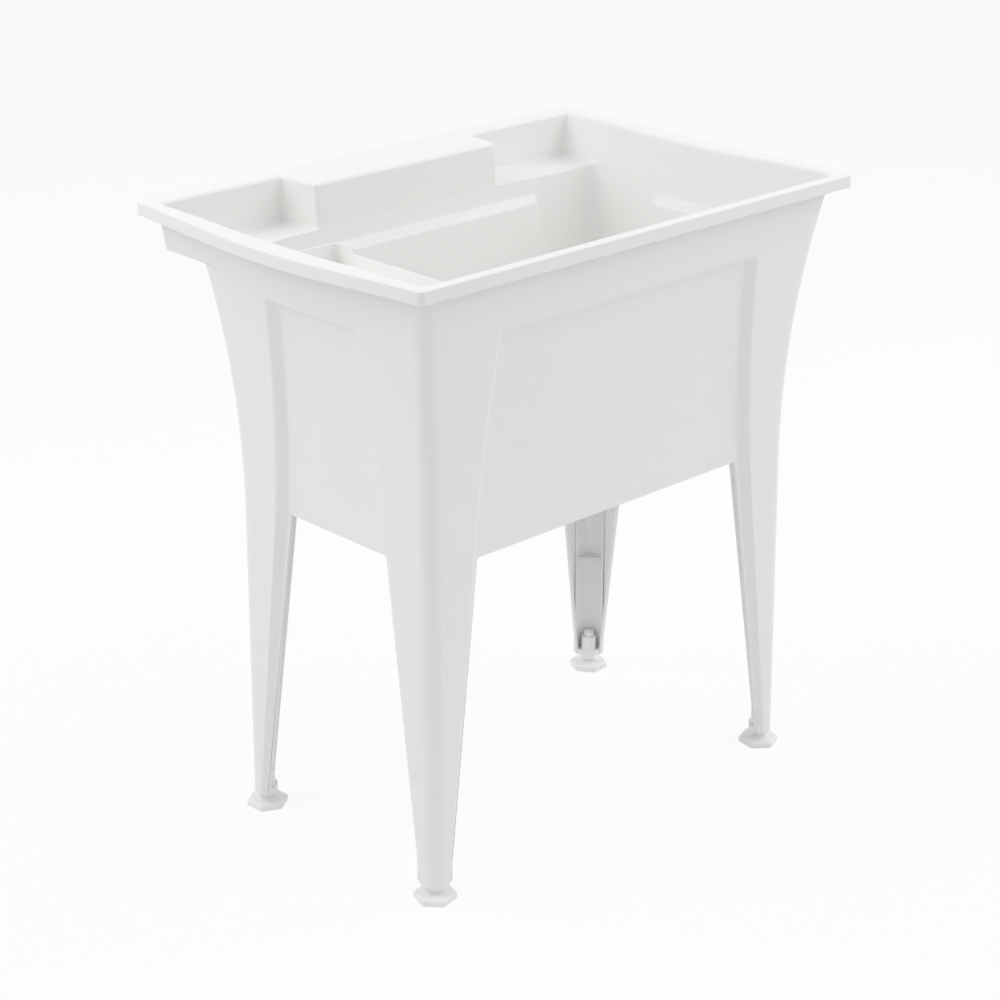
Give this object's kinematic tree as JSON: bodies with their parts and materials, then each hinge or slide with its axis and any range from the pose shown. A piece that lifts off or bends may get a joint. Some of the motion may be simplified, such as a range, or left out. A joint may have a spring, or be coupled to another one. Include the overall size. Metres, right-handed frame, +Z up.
{
  "type": "utility laundry sink",
  "caption": "Free-standing laundry sink: a moulded tub with a tap deck and side shelves at the back, on plug-in legs with levelling feet and a basin drain.",
  "frame": {"origin": "on the floor, under the middle of the rim's plan", "axes": "+Z up, -Y towards the user at the front of the basin, +Y towards the tap deck and the wall, +X to the user's right"},
  "size_m": [0.845, 0.584, 0.895],
  "materials": {
    "tub_plastic": "white moulded polypropylene, slight gloss",
    "leg_plastic": "white moulded polypropylene, slight gloss",
    "foot_plastic": "white moulded nylon, satin",
    "drain_plastic": "white moulded plastic, satin",
    "washer_plastic": "plain fibre-coloured sheet",
    "seal_rubber": "black rubber",
    "stopper_rubber": "black rubber",
    "screw_steel": "zinc-plated steel"
  },
  "bodies": {
    "sink": {"tub": "tub_plastic", "leg_front_left": "leg_plastic", "leg_front_right": "leg_plastic", "leg_rear_left": "leg_plastic", "leg_rear_right": "leg_plastic", "leg_screws_front_left": "screw_steel", "leg_screws_front_right": "screw_steel", "leg_screws_rear_left": "screw_steel", "leg_screws_rear_right": "screw_steel", "drain_body": "drain_plastic", "drain_gasket": "seal_rubber", "drain_friction_washer": "washer_plastic", "drain_locknut": "drain_plastic"},
    "front_left_foot": {"foot_front_left": "foot_plastic"},
    "front_right_foot": {"foot_front_right": "foot_plastic"},
    "rear_left_foot": {"foot_rear_left": "foot_plastic"},
    "rear_right_foot": {"foot_rear_right": "foot_plastic"},
    "stopper": {"drain_stopper": "stopper_rubber"}
  },
  "joints": [
    {"name": "front_left_foot_height", "type": "slide", "parent": "sink", "child": "front_left_foot", "axis": [0, 0, -1], "range_m": [-0.005, 0.02]},
    {"name": "front_right_foot_height", "type": "slide", "parent": "sink", "child": "front_right_foot", "axis": [0, 0, -1], "range_m": [-0.005, 0.02]},
    {"name": "rear_left_foot_height", "type": "slide", "parent": "sink", "child": "rear_left_foot", "axis": [0, 0, -1], "range_m": [-0.005, 0.02]},
    {"name": "rear_right_foot_height", "type": "slide", "parent": "sink", "child": "rear_right_foot", "axis": [0, 0, -1], "range_m": [-0.005, 0.02]},
    {"name": "stopper_lift", "type": "slide", "parent": "sink", "child": "stopper", "axis": [0, 0, 1], "range_m": [0, 0.4]}
  ]
}
